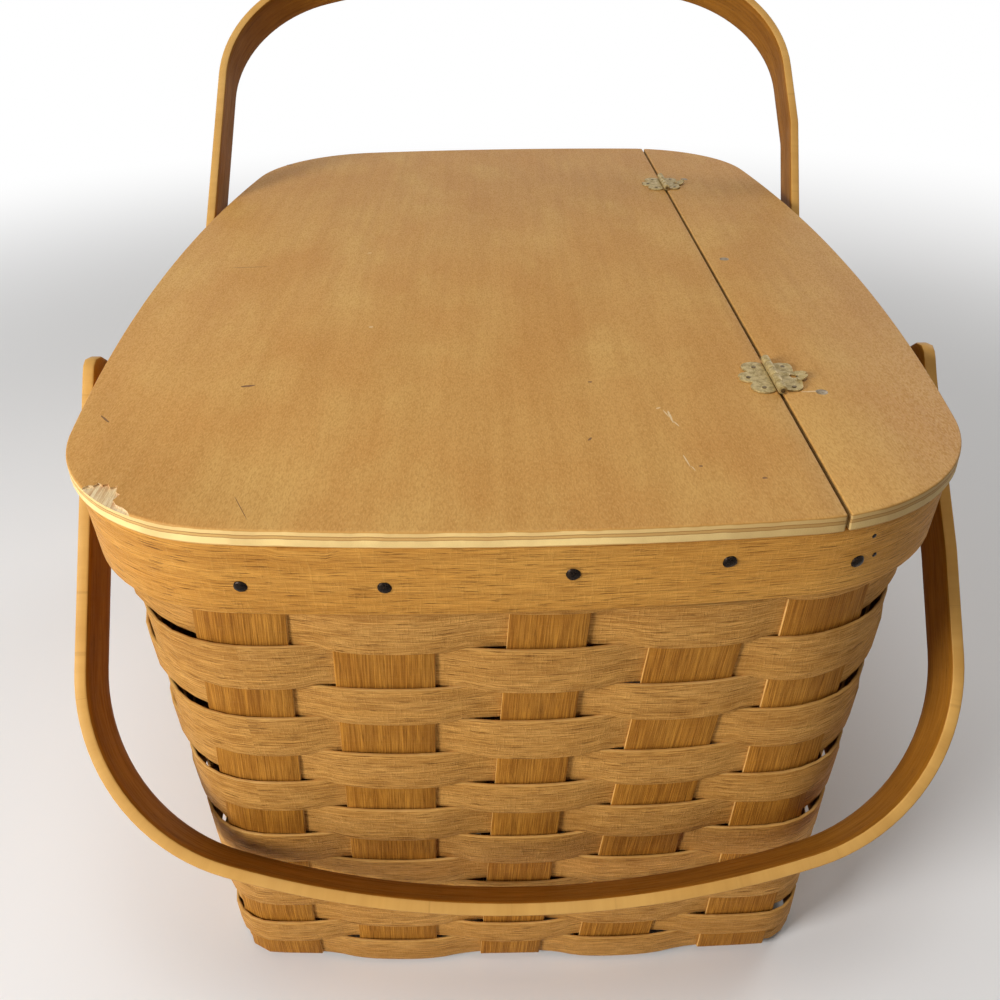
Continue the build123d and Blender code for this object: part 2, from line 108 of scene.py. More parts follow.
def turn_along_side(arcs, y):
    """Share of a quarter turn between the middle of a side wall and the place at y."""
    travelled = 0.0
    for _, centre_y, radius, start, end in (arcs[2], arcs[1]):
        angle = acos((abs(y) - centre_y) / radius)
        if angle >= start:
            break
        travelled += radius * (end - start)
    return copysign((travelled + radius * (end - angle)) / quarter_length(arcs), y)


def spread(low, high, steps):
    return [low + (high - low) * n / steps for n in range(steps + 1)]


def ease_edges(piece, width, segments, sharpest, smooth_to):
    """Rounds the edges that turn more than an angle, and shades the gentler ones smooth."""
    easing = piece.modifiers.new("eased edges", "BEVEL")
    easing.width = width * mm
    easing.segments = segments
    easing.limit_method = "ANGLE"
    easing.angle_limit = radians(sharpest)
    bpy.ops.object.modifier_apply(modifier="eased edges")
    bpy.ops.object.shade_smooth_by_angle(angle=radians(smooth_to))


def bent_strip(
    name, along, across, place, thickness, rounding, materials, uv_start=0.0, closed=False
):
    """Strip on a grid of places, with its UV map in metres. Its materials: face, then edge."""
    bpy.ops.object.select_all(action="DESELECT")
    bpy.ops.mesh.primitive_grid_add(
        x_subdivisions=len(along) - 1, y_subdivisions=len(across) - 1, size=1
    )
    strip = bpy.context.object
    strip.name = strip.data.name = name
    for material in materials:
        strip.data.materials.append(material)
    columns = len(along)
    places = []
    for vertex in strip.data.vertices:
        row, column = divmod(vertex.index, columns)
        vertex.co = Vector(place(along[column], across[row])) * mm
        places.append((row, column))
    lengths = [0.0]
    middle = len(across) // 2 * columns
    for n in range(1, columns):
        step = strip.data.vertices[middle + n].co - strip.data.vertices[middle + n - 1].co
        lengths.append(lengths[-1] + step.length)
    widths = [0.0]
    for n in range(1, len(across)):
        step = strip.data.vertices[n * columns].co - strip.data.vertices[(n - 1) * columns].co
        widths.append(widths[-1] + step.length)
    # uv_start gives each strip its own part of the grain
    uv_map = strip.data.uv_layers[0]
    for loop in strip.data.loops:
        row, column = places[loop.vertex_index]
        uv_map.data[loop.index].uv = (lengths[column] + uv_start, widths[row] + uv_start * 0.37)
    if closed:
        bpy.ops.object.mode_set(mode="EDIT")
        bpy.ops.mesh.select_all(action="SELECT")
        bpy.ops.mesh.remove_doubles(threshold=0.00002)
        bpy.ops.object.mode_set(mode="OBJECT")
    solid = strip.modifiers.new("thickness", "SOLIDIFY")
    solid.thickness = thickness * mm
    solid.offset = 0
    solid.use_even_offset = True
    solid.material_offset_rim = 1
    bpy.ops.object.modifier_apply(modifier="thickness")
    ease_edges(strip, rounding, 2, 50, 50)
    return strip


def linear(hex_colour):
    """A colour written as sRGB hex, as the linear values that sockets take."""
    parts = [int(hex_colour[n : n + 2], 16) / 255 for n in (1, 3, 5)]
    return [p / 12.92 if p <= 0.04045 else ((p + 0.055) / 1.055) ** 2.4 for p in parts] + [1.0]


def new_material(name):
    """A material with nodes, and its shader."""
    material = bpy.data.materials.new(name)
    material.use_nodes = True
    return material, material.node_tree.nodes["Principled BSDF"]


def add_node(material, kind, inputs=None, **settings):
    """Adds a node to a material, with its settings, and its inputs filled or linked."""
    node = material.node_tree.nodes.new(kind)
    for setting, value in settings.items():
        setattr(node, setting, value)
    for socket, value in (inputs or {}).items():
        if isinstance(value, bpy.types.NodeSocket):
            material.node_tree.links.new(value, node.inputs[socket])
        else:
            node.inputs[socket].default_value = value
    return node


def splint_wood(
    name, heart, late, bright, dash, patterns, strengths, gloss, depth, source="UV"
):
    """Wood whose patterns are each (along, across, low, high): mm, then its noise range."""
    material, shader = new_material(name)
    shader.inputs["Specular IOR Level"].default_value = 0.07
    place = add_node(material, "ShaderNodeTexCoord").outputs[source]
    grain = {}
    for pattern, (along, across, low, high) in patterns.items():
        size = (along, across, across) if source == "UV" else (across, along, across)
        scaled = add_node(
            material,
            "ShaderNodeMapping",
            {"Vector": place, "Scale": [1 / (part * mm) for part in size]},
        )
        spots = add_node(
            material, "ShaderNodeTexNoise",
            {"Vector": scaled.outputs[0], "Scale": 1, "Detail": 5, "Roughness": 0.62},
        )
        grain[pattern] = add_node(
            material,
            "ShaderNodeMapRange",
            {"Value": spots.outputs[0], "From Min": low, "From Max": high},
        ).outputs[0]
    colour = linear(heart)
    for pattern, tint in (
        ("bands", late), ("patches", bright), ("fibres", late), ("ripple", bright),
        ("dashes", dash),
    ):
        share = add_node(
            material, "ShaderNodeMath", {0: grain[pattern], 1: strengths[pattern]},
            operation="MULTIPLY",
        )
        colour = add_node(
            material, "ShaderNodeMix", {0: share.outputs[0], 6: colour, 7: linear(tint)},
            data_type="RGBA",
        ).outputs[2]
    material.node_tree.links.new(colour, shader.inputs["Base Color"])
    rough = add_node(
        material,
        "ShaderNodeMapRange",
        {"Value": grain["fibres"], "To Min": gloss[0], "To Max": gloss[1]},
    )
    material.node_tree.links.new(rough.outputs[0], shader.inputs["Roughness"])
    height = add_node(
        material, "ShaderNodeMath", {0: grain["fibres"], 1: grain["ripple"]}, operation="ADD"
    )
    relief = add_node(
        material,
        "ShaderNodeBump",
        {"Height": height.outputs[0], "Strength": 0.6, "Distance": depth * mm},
    )
    material.node_tree.links.new(relief.outputs[0], shader.inputs["Normal"])
    return material


# Rotary cut maple, oiled: golden brown with long dark streaks about 2 mm wide, low sheen
stake_face = splint_wood(
    "oiled_maple_stake_face", "#b97c2c", "#6f3e10", "#cf943e", "#4f2b09",
    {
        "bands": (110, 2.2, 0.42, 0.60), "patches": (60, 18, 0.40, 0.70),
        "fibres": (22, 0.55, 0.40, 0.60), "ripple": (1.3, 14, 0.50, 0.75),
        "dashes": (12, 0.6, 0.58, 0.68),
    },
    {"bands": 0.45, "patches": 0.50, "fibres": 0.62, "ripple": 0.10, "dashes": 0.6},
    (0.50, 0.68), 0.14,
)
# The sawn edge of a splint, not stained by oil: pale, with short fibres
splint_edge = splint_wood(
    "sawn_splint_edge", "#d2a25a", "#a87434", "#e2bb7c", "#82541f",
    {
        "bands": (40, 1.0, 0.45, 0.65), "patches": (30, 4, 0.45, 0.70),
        "fibres": (9, 0.4, 0.40, 0.66), "ripple": (1.5, 3, 0.50, 0.75),
        "dashes": (6, 0.5, 0.62, 0.74),
    },
    {"bands": 0.35, "patches": 0.4, "fibres": 0.35, "ripple": 0.1, "dashes": 0.3},
    (0.5, 0.65), 0.06,
)

splint_thickness = 1.4
stake_rounding = 0.35
# under the basket: the splints' middle above the table, and how far it rises and falls
floor_level = 2.3
floor_weave = 1.6
fold_radius = 2.4
stake_top = 255.6
stake_width = 31.0
# place at the floor, lean over the height, and width of each front stake
front_stakes = (
    (-110.2, 0.080, 32.5), (-55.3, 0.049, 35.0), (-4.2, 0.0676, 27.0),
    (42.0, 0.091, 32.0), (98.1, 0.030, 30.5),
)
# the first front stake stays this far from the middle, clear of the corner
stake_limit = 106.8
# the back stakes stand at one pitch, and so do the cross stakes
long_pitch = 50.5
long_places = [long_pitch * n for n in (-2, -1, 0, 1, 2)]
cross_pitch = 53.0
cross_places = [cross_pitch * n for n in (-3, -2, -1, 0, 1, 2, 3)]
# a back stake leaves the line of the front one between the floor and this height
straight_height = 60.0
# the cross stakes weave through the long ones up to this far from the middle
floor_weave_reach = 110.0
# a wave's height before it is cut off level at 1, so that a splint lies flat on the next
floor_weave_flat = 1.6


def front_stake_x(number, height):
    x, lean, _ = front_stakes[number]
    return max(x + lean * height, -stake_limit)


def stake_path():
    """Stations from the top of one wall to the top of the other: wall, height, share, inset."""
    up = [(0, height, 0.0, 0.0) for height in spread(stake_top, floor_level + fold_radius, 30)]
    fold = []
    for angle in (22.5, 45.0, 67.5):
        bend = radians(angle)
        fold.append(
            (0, floor_level + fold_radius * (1 - sin(bend)), 0.0, fold_radius * (1 - cos(bend)))
        )
    flat = [(2, floor_level, share, fold_radius) for share in spread(0.0, 1.0, 48)]
    down = [(1, height, 1.0, inset) for _, height, _, inset in reversed(up + fold)]
    return up + fold + flat + down


def long_stake_spot(number):
    def spot(station, offset):
        part, height, share, inset = station
        arcs = outline_at(height)
        front_x = front_stake_x(number, height) + offset
        foot = front_stake_x(number, 0)
        straight = min(1, height / straight_height)
        back_x = foot + (long_places[number] - foot) * straight + offset
        front_y = on_outline(arcs, turn_along_end(arcs, front_x))[1] + inset
        back_y = on_outline(arcs, 2 - turn_along_end(arcs, back_x))[1] - inset
        if part == 0:
            return front_x, front_y, height
        if part == 1:
            return back_x, back_y, height
        return front_x + (back_x - front_x) * share, front_y + (back_y - front_y) * share, height

    return spot


def cross_stake_spot(number):
    def spot(station, offset):
        part, height, share, inset = station
        arcs = outline_at(height)
        y = cross_places[number] + offset
        turn = 1 + turn_along_side(arcs, y)
        x = on_outline(arcs, turn)[0] - inset
        if part == 0:
            return x, y, height
        if part == 1:
            return -x, y, height
        x *= 1 - 2 * share
        lift = 0
        if abs(x) < floor_weave_reach:
            lift = max(-1, min(1, floor_weave_flat * cos(pi * x / long_pitch)))
        return x, y, height + floor_weave * lift * (-1) ** (number + 1)

    return spot


def make_stake(name, spot, width, uv_start):
    across = spread(-width / 2, width / 2, 4)
    strip = bent_strip(
        f"{name}_splint", stake_path(), across, spot, splint_thickness,
        stake_rounding, (stake_face, splint_edge), uv_start,
    )
    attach(strip, "basket")
    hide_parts(name)


for number in range(5):
    width = front_stakes[number][2]
    make_stake(f"long_stake_{number + 1}", long_stake_spot(number), width, 3.1 + number * 1.37)
for number in range(7):
    make_stake(
        f"cross_stake_{number + 1}", cross_stake_spot(number), stake_width, 11.3 + number * 1.61
    )

# WEAVERS. Fourteen rows of splint about 16.6 mm wide, each a hoop that passes in front of every
# other stake and behind the next. The splint is sliced along the grain, so it is lighter and
# finer than the stakes, with a slight ripple across, and it bulges where it passes outside.
# Sliced maple, oiled: honey brown with fine dark dashes along and a faint ripple across
weaver_face = splint_wood(
    "oiled_maple_weaver_face", "#cd964b", "#8f5a21", "#deaa5f", "#663b11",
    {
        "bands": (120, 2.6, 0.42, 0.62), "patches": (60, 14, 0.40, 0.70),
        "fibres": (10, 0.6, 0.42, 0.60), "ripple": (0.9, 5, 0.50, 0.66),
        "dashes": (12, 0.6, 0.56, 0.64),
    },
    {"bands": 0.45, "patches": 0.55, "fibres": 0.60, "ripple": 0.18, "dashes": 0.85},
    (0.48, 0.66), 0.22,
)
# the row behind the rim, then each row down to the floor: the height of its lower edge
row_bottoms = (
    224.2, 206.0, 186.7, 169.7, 150.6, 132.3, 116.4, 98.3, 81.6, 65.0, 48.7, 32.3, 18.8, 3.2
)
behind_rim_height = 13.0
row_gap = 0.3
row_rounding = 0.4
# how much of a row's wave is level where it passes a stake
wave_flatness = 1.56
# a row is wider by this share where it passes a stake than where two rows cross
stake_widening = 0.11
# how far a row's middle stands out in front of a stake, and in behind the next
outer_swing = 2.05
inner_swing = 1.75
# a row droops where it passes outside, and strays a little in height and depth
droop = 0.8
stray_height = 0.8
stray_depth = 0.25
# the spaces between stakes that turn a corner, where a row is squeezed most
corner_spaces = (4, 11, 16, 23)
corner_squeeze = 0.13


def stake_turns(height):
    """Where the stakes stand at a height, in quarter turns from the middle of the front."""
    arcs = outline_at(height)
    front = [turn_along_end(arcs, front_stake_x(number, height)) for number in range(5)]
    right = [1 + turn_along_side(arcs, y) for y in cross_places]
    back = [2 - turn_along_end(arcs, x) for x in reversed(long_places)]
    left = [3 - turn_along_side(arcs, y) for y in reversed(cross_places)]
    return front + right + back + left


def row_stations(height):
    """Round the wall: (turn, wave, stakes passed). The wave is 1 at a stake, -1 at the next."""
    turns = stake_turns(height)
    stations = []
    for n, turn in enumerate(turns):
        following = turns[n + 1] if n + 1 < len(turns) else turns[0] + 4
        for step in range(10):
            share = step / 10
            wave = cos(pi * share) * (-1) ** n
            stations.append((turn + (following - turn) * share, wave, n + share))
    return stations + [(turns[0] + 4, 1.0, 0.0)]


for row, bottom in enumerate(row_bottoms):
    top = row_bottoms[row - 1] - row_gap if row else bottom + behind_rim_height
    outside = 1 if row % 2 == 0 else -1

    def spot(station, level, row=row, outside=outside, middle=(bottom + top) / 2):
        turn, wave, count = station
        # a flattened wave: 1 in front of a stake, -1 behind the next
        swing = outside * sqrt(1 + wave_flatness) * wave / sqrt(1 + wave_flatness * wave**2)
        round_wall = count * pi / 12
        stray = noise.noise(Vector((cos(round_wall) * 3, sin(round_wall) * 3, row * 2.3)))
        # the lowest row keeps its width
        wide = 1
        if row < len(row_bottoms) - 1:
            wide += stake_widening * abs(swing) ** 0.7
        if floor(count) in corner_spaces:
            wide -= corner_squeeze * (1 - wave**2)
        z = middle + (level - middle) * wide + stray * stray_height - droop * max(0, swing)
        outward = swing * (outer_swing if swing > 0 else inner_swing) + stray * stray_depth
        arcs = outline_at(z)
        x, y = on_outline(arcs, turn, outward)
        return x, y, z

    name = f"weaver_row_{row:02d}"
    strip = bent_strip(
        f"{name}_splint", row_stations((bottom + top) / 2), spread(bottom, top, 4), spot,
        splint_thickness, row_rounding, (weaver_face, splint_edge), 0.7 + row * 2.13,
        closed=True,
    )
    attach(strip, "basket")
    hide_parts(name)

# RIM BANDS. Two steam-bent hardwood bands, 28 mm tall and 3.5 mm thick, that grip the top of
# the wall between them, with tacks through both. Their edges are rounded over.
# Flat sawn beech, varnished: warm gold with fine dark flecks along the grain and a soft sheen
rim_face = splint_wood(
    "varnished_beech_rim", "#d19542", "#a06726", "#e0ac59", "#613811",
    {
        "bands": (160, 4.0, 0.42, 0.64), "patches": (90, 20, 0.40, 0.70),
        "fibres": (12, 0.6, 0.42, 0.60), "ripple": (1.2, 8, 0.50, 0.70),
        "dashes": (11, 0.6, 0.56, 0.64),
    },
    {"bands": 0.48, "patches": 0.42, "fibres": 0.52, "ripple": 0.18, "dashes": 0.80},
    (0.42, 0.58), 0.16,
)
rim_levels = (227.7, 255.6)
# the lower edge rises to the right, by this much at the rim's half width
rim_slant = 2.6
rim_half_width = 160.0
# a worn dip in the top edge at the front: from, to and depth
rim_dip = (-72.5, -58.0, 1.3)
rim_offset = 5.65
rim_thickness = 3.5
rim_rounding = 0.9
for name, offset, uv_start in (("rim_outer", rim_offset, 40.0), ("rim_inner", -rim_offset, 47.0)):

    def spot(turn, level, offset=offset):
        x, y = on_outline(outline_at(level), turn, offset)
        above = (level - rim_levels[0]) / (rim_levels[1] - rim_levels[0])
        level += rim_slant * x / rim_half_width * (1 - above)
        if y < 0 and rim_dip[0] < x < rim_dip[1]:
            level -= rim_dip[2] * above**4
        return x, y, level

    band = bent_strip(
        f"{name}_band", spread(-0.5, 3.5, 300), spread(*rim_levels, 3), spot, rim_thickness,
        rim_rounding, (rim_face, rim_face), uv_start, closed=True,
    )
    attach(band, "basket")
    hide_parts(name)

# HANDLES. Two bentwood strips of ash, 24 by 5 mm, each steamed and bent flatwise round two
# shoulders, with straight arms that swing on rivets beside the rim.
# The planed face of the ash, varnished, with open grain and a soft sheen: dark brown, partly
# its own tone and partly painted shade of the inner face, which lies in shadow
handle_face_with_painted_shade = splint_wood(
    "bent_ash_handle_face", "#a06820", "#643a0e", "#b88234", "#452607",
    {
        "bands": (220, 3.0, 0.42, 0.64), "patches": (110, 16, 0.40, 0.70),
        "fibres": (22, 0.6, 0.40, 0.66), "ripple": (2.2, 18, 0.50, 0.75),
        "dashes": (9, 0.5, 0.60, 0.70),
    },
    {"bands": 0.45, "patches": 0.40, "fibres": 0.40, "ripple": 0.06, "dashes": 0.5},
    (0.38, 0.52), 0.07,
)
# Its sawn edge: pale gold with close grain lines
handle_edge = splint_wood(
    "bent_ash_handle_edge", "#d19f54", "#a37131", "#e0b670", "#6f4315",
    {
        "bands": (180, 1.4, 0.42, 0.64), "patches": (90, 10, 0.40, 0.70),
        "fibres": (20, 0.4, 0.40, 0.66), "ripple": (2.2, 18, 0.50, 0.75),
        "dashes": (8, 0.4, 0.60, 0.70),
    },
    {"bands": 0.40, "patches": 0.40, "fibres": 0.35, "ripple": 0.06, "dashes": 0.4},
    (0.38, 0.52), 0.05,
)
handle_thickness = 5.0
handle_rounding = 1.5
handle_strip_width = 24.0
arm_half_span = 172.5
arm_straight = 112.0
arm_stub = 17.0
stub_corner = 8.0
shoulder_centre = 91.0
shoulder_radius = 81.5
crown_centre = -200.0
crown_radius = 406.5
pivot_height = 242.0
pivot_y = 106.0
rivet_bore_radius = 2.46
hang_angle = 38.3 - 180
raised_angle = 50.0
# a right arm is sprung outward more and more up to this reach from the pivot
spring_reach = 70.0


def handle_line():
    """Middle of a handle's strip as (x, reach from the pivot), from one stub to the other."""
    lean = atan2(arm_straight - crown_centre, shoulder_centre)
    half = [(arm_half_span, reach) for reach in spread(-arm_stub, arm_straight, 44)]
    for angle in spread(0.0, lean, 20)[1:]:
        half.append(
            (
                shoulder_centre + shoulder_radius * cos(angle),
                arm_straight + shoulder_radius * sin(angle),
            )
        )
    for angle in spread(lean, pi / 2, 14)[1:]:
        half.append((crown_radius * cos(angle), crown_centre + crown_radius * sin(angle)))
    return half + [(-x, reach) for x, reach in reversed(half[:-1])]


for name, pivot, angle, spring, uv_start in (
    ("front_handle", -pivot_y, hang_angle, 3.5, 60.0),
    ("back_handle", pivot_y, raised_angle, 7.0, 66.0),
):
    grip_way = Vector((0, sin(radians(angle)), cos(radians(angle))))
    broad_way = Vector((1, 0, 0)).cross(grip_way)

    def spot(
        station, offset, pivot=pivot, grip_way=grip_way, broad_way=broad_way, spring=spring
    ):
        x, reach = station
        end = arm_stub + reach
        narrow = 1.0
        if end < stub_corner:
            flank = sqrt(max(0, 1 - ((stub_corner - end) / stub_corner) ** 2))
            narrow = 1 - stub_corner / (handle_strip_width / 2) * (1 - flank)
        if x > 0:
            x += spring * min(1, max(0, reach / spring_reach)) * x / arm_half_span
        point = Vector((0, pivot, pivot_height)) + grip_way * reach + broad_way * offset * narrow
        return x, point.y, point.z

    strip = bent_strip(
        f"{name}_bentwood", handle_line(),
        spread(-handle_strip_width / 2, handle_strip_width / 2, 6), spot, handle_thickness,
        handle_rounding, (handle_face_with_painted_shade, handle_edge), uv_start,
    )
    # one drill bores both arms
    bpy.ops.mesh.primitive_cylinder_add(
        vertices=32, radius=rivet_bore_radius * mm, depth=0.4,
        location=(0, pivot * mm, pivot_height * mm), rotation=(0, pi / 2, 0),
    )
    drill = bpy.context.object
    bpy.ops.object.select_all(action="DESELECT")
    strip.select_set(True)
    bpy.context.view_layer.objects.active = strip
    bore = strip.modifiers.new("rivet bore", "BOOLEAN")
    bore.operation = "DIFFERENCE"
    bore.object = drill
    bpy.ops.object.modifier_apply(modifier="rivet bore")
    bpy.ops.object.shade_smooth_by_angle(angle=radians(50))
    bpy.data.objects.remove(drill)
    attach(strip, name)
    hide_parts(name)

# SPACERS AND BATTEN. A turned beech washer on each rivet holds the arm off the rim, and a
# planed beech batten under the hinge line takes the strip's nails.
# Planed beech, unfinished: plain light brown with faint grain, matt
plain_wood = splint_wood(
    "planed_beech", "#c08c4c", "#8f5f2a", "#d6a869", "#6f431a",
    {
        "bands": (60, 3.0, 0.42, 0.64), "patches": (40, 12, 0.40, 0.70),
        "fibres": (12, 0.6, 0.40, 0.66), "ripple": (2.0, 12, 0.50, 0.75),
        "dashes": (6, 0.5, 0.60, 0.70),
    },
    {"bands": 0.40, "patches": 0.40, "fibres": 0.35, "ripple": 0.06, "dashes": 0.4},
    (0.5, 0.65), 0.05, source="Object",
)


def finish_node(name, material):
    """Gives a CAD node its material."""
    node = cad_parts[name]
    node.data.materials.clear()
    node.data.materials.append(material)


rivet_places = [f"{end}_{side}" for end in ("front", "back") for side in ("left", "right")]
for where in rivet_places:
    finish_node(f"spacer_{where}", plain_wood)
finish_node("strip_batten", plain_wood)


def worn_metal(name, heart, dull, bright, metallic, rough, spot_size):
    """Metal with a duller tarnish in patches, each patch a spot_size of mm across."""
    material, shader = new_material(name)
    shader.inputs["Metallic"].default_value = metallic
    place = add_node(material, "ShaderNodeTexCoord").outputs["Object"]
    spots = add_node(
        material,
        "ShaderNodeTexNoise",
        {"Vector": place, "Scale": 1 / (spot_size * mm), "Detail": 4, "Roughness": 0.6},
    ).outputs[0]
    grit = add_node(
        material,
        "ShaderNodeTexNoise",
        {"Vector": place, "Scale": 4 / (spot_size * mm), "Detail": 3, "Roughness": 0.7},
    ).outputs[0]
    tarnish = add_node(
        material, "ShaderNodeMapRange", {"Value": spots, "From Min": 0.40, "From Max": 0.60}
    ).outputs[0]
    wear = add_node(
        material, "ShaderNodeMapRange", {"Value": grit, "From Min": 0.52, "From Max": 0.70}
    ).outputs[0]
    colour = add_node(
        material, "ShaderNodeMix", {0: tarnish, 6: linear(heart), 7: linear(dull)},
        data_type="RGBA",
    ).outputs[2]
    colour = add_node(
        material, "ShaderNodeMix", {0: wear, 6: colour, 7: linear(bright)}, data_type="RGBA"
    ).outputs[2]
    material.node_tree.links.new(colour, shader.inputs["Base Color"])
    sheen = add_node(
        material, "ShaderNodeMapRange", {"Value": tarnish, "To Min": rough[0], "To Max": rough[1]}
    ).outputs[0]
    material.node_tree.links.new(sheen, shader.inputs["Roughness"])
    relief = add_node(
        material, "ShaderNodeBump", {"Height": grit, "Strength": 0.25, "Distance": 0.1 * mm}
    )
    material.node_tree.links.new(relief.outputs[0], shader.inputs["Normal"])
    return material


# RIVETS. Four steel rivets through both rim bands, a spacer and an arm, each with a flat head
# outside the arm. Plain steel gone dull: grey with darker patches and a broad highlight.
rivet_steel = worn_metal(
    "dull_steel_rivet", "#6d6a66", "#4b4744", "#8f8b86", 0.9, (0.35, 0.6), 2.0
)
for where in rivet_places:
    finish_node(f"rivet_{where}", rivet_steel)

# LID. One board of 6.3 mm birch plywood, sawn in two along the hinge line. The top veneer is
# stained honey tan with fine lengthwise flecks, and the sawn edge shows pale and dark plies.
lid_outline = (167.5, 241.0, 20.4, 10.5, 73.0)
lid_bottom = 255.7
lid_thickness = 6.3
lid_top = lid_bottom + lid_thickness
lid_easing = 0.7
hinge_line = 100.0
saw_half_gap = 0.6


def lid_veneer():
    """Stained veneer on both faces and plies in the edge, by the height in the board."""
    material, shader = new_material("stained_birch_plywood")
    shader.inputs["Specular IOR Level"].default_value = 0.15
    place = add_node(material, "ShaderNodeTexCoord").outputs["Object"]
    grain = {}
    # sizes in mm across (X) and along (Y) the grain, then the range of the noise
    for pattern, across, along, low, high in (
        ("flecks", 0.55, 1.9, 0.44, 0.64), ("pale_flecks", 0.5, 1.6, 0.48, 0.64),
        ("streaks", 5.0, 90.0, 0.40, 0.66), ("mottle", 45.0, 70.0, 0.36, 0.66),
        ("pale_mottle", 30.0, 60.0, 0.45, 0.70), ("plies", 12.0, 12.0, 0.40, 0.65),
    ):
        scaled = add_node(
            material,
            "ShaderNodeMapping",
            {
                "Vector": place,
                "Scale": (1 / (across * mm), 1 / (along * mm), 1 / (across * mm)),
                "Location": (along, across, 0),
            },
        )
        spots = add_node(
            material,
            "ShaderNodeTexNoise",
            {"Vector": scaled.outputs[0], "Scale": 1, "Detail": 3.0},
        )
        grain[pattern] = add_node(
            material,
            "ShaderNodeMapRange",
            {"Value": spots.outputs[0], "From Min": low, "From Max": high},
        ).outputs[0]
    top = linear("#ca9752")
    for pattern, tint, strength in (
        ("mottle", "#b97c38", 0.45), ("pale_mottle", "#d3a75f", 0.60),
        ("streaks", "#b07a38", 0.30), ("flecks", "#a06c30", 0.34),
        ("pale_flecks", "#d8ad68", 0.34),
    ):
        share = add_node(
            material, "ShaderNodeMath", {0: grain[pattern], 1: strength}, operation="MULTIPLY"
        )
        top = add_node(
            material, "ShaderNodeMix", {0: share.outputs[0], 6: top, 7: linear(tint)},
            data_type="RGBA",
        ).outputs[2]
    height = add_node(
        material, "ShaderNodeSeparateXYZ", {"Vector": place}
    ).outputs["Z"]
    wander = add_node(
        material, "ShaderNodeMapRange",
        {"Value": grain["plies"], "To Min": -0.15 * mm, "To Max": 0.15 * mm},
    ).outputs[0]
    level = add_node(
        material, "ShaderNodeMath", {0: height, 1: wander}, operation="ADD"
    ).outputs[0]
    # plies from the bottom: (height above the lid's underside in mm, colour)
    edge = linear("#cf9f58")
    for start, tint in (
        (0.6, "#f4d48e"), (3.0, "#a87a3c"), (3.25, "#d2a763"), (4.1, "#9c6c30"),
        (4.35, "#e9c682"), (5.6, "#c8954c"),
    ):
        above = add_node(
            material, "ShaderNodeMapRange",
            {
                "Value": level, "From Min": (lid_bottom + start - 0.06) * mm,
                "From Max": (lid_bottom + start + 0.06) * mm,
            },
        ).outputs[0]
        edge = add_node(
            material, "ShaderNodeMix", {0: above, 6: edge, 7: linear(tint)}, data_type="RGBA"
        ).outputs[2]
    speckle = add_node(
        material, "ShaderNodeMath", {0: grain["plies"], 1: 0.25}, operation="MULTIPLY"
    )
    edge = add_node(
        material, "ShaderNodeMix", {0: speckle.outputs[0], 6: edge, 7: linear("#a87c48")},
        data_type="RGBA",
    ).outputs[2]
    # the sawn edge is darker to the right of the middle, fading in from 20 to 90 mm
    sideways = add_node(material, "ShaderNodeSeparateXYZ", {"Vector": place}).outputs["X"]
    edge_darkening = add_node(
        material, "ShaderNodeMapRange",
        {"Value": sideways, "From Min": 20 * mm, "From Max": 90 * mm, "To Max": 0.5},
    ).outputs[0]
    edge = add_node(
        material, "ShaderNodeMix", {0: edge_darkening, 6: edge, 7: linear("#86602f")}, data_type="RGBA"
    ).outputs[2]
    facing = add_node(material, "ShaderNodeNewGeometry").outputs["Normal"]
    upward = add_node(material, "ShaderNodeSeparateXYZ", {"Vector": facing}).outputs["Z"]
    flatness = add_node(
        material, "ShaderNodeMath", {0: upward}, operation="ABSOLUTE"
    ).outputs[0]
    on_top = add_node(
        material, "ShaderNodeMapRange", {"Value": flatness, "From Min": 0.35, "From Max": 0.8}
    ).outputs[0]
    colour = add_node(
        material, "ShaderNodeMix", {0: on_top, 6: edge, 7: top}, data_type="RGBA"
    ).outputs[2]
    material.node_tree.links.new(colour, shader.inputs["Base Color"])
    rough = add_node(
        material, "ShaderNodeMapRange", {"Value": grain["flecks"], "To Min": 0.52, "To Max": 0.68}
    ).outputs[0]
    material.node_tree.links.new(rough, shader.inputs["Roughness"])
    relief = add_node(
        material, "ShaderNodeBump",
        {"Height": grain["flecks"], "Strength": 0.35, "Distance": 0.06 * mm},
    )
    material.node_tree.links.new(relief.outputs[0], shader.inputs["Normal"])
    return material


# Birch plywood, stained and hardly glossy: mottled honey tan, with dark and pale plies
plywood = lid_veneer()


def lid_piece(name, body, keep_left):
    """The board's half on one side of the saw cut, with its edges eased."""
    steps = 320
    bpy.ops.object.select_all(action="DESELECT")
    bpy.ops.mesh.primitive_circle_add(vertices=steps, radius=0.1, fill_type="NGON")
    board = bpy.context.object
    board.name = board.data.name = f"{name}_board"
    arcs = outline_arcs(*lid_outline)
    for vertex in board.data.vertices:
        x, y = on_outline(arcs, 4 * vertex.index / steps)
        vertex.co = Vector((x, y, lid_bottom)) * mm
    bpy.ops.object.mode_set(mode="EDIT")
    bpy.ops.mesh.select_all(action="SELECT")
    bpy.ops.mesh.extrude_region_move(
        TRANSFORM_OT_translate={"value": (0, 0, lid_thickness * mm)}
    )
    bpy.ops.mesh.select_all(action="SELECT")
    cut = hinge_line + (-saw_half_gap if keep_left else saw_half_gap)
    bpy.ops.mesh.bisect(
        plane_co=(cut * mm, 0, 0), plane_no=(1, 0, 0), use_fill=True,
        clear_outer=keep_left, clear_inner=not keep_left,
    )
    bpy.ops.mesh.select_all(action="SELECT")
    bpy.ops.mesh.normals_make_consistent(inside=False)
    bpy.ops.object.mode_set(mode="OBJECT")
    ease_edges(board, lid_easing, 3, 50, 40)
    board.data.materials.append(plywood)
    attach(board, body)
    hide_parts(name)
    return board


lid_leaf = lid_piece("lid_leaf", "lid", True)
lid_piece("lid_strip", "basket", False)

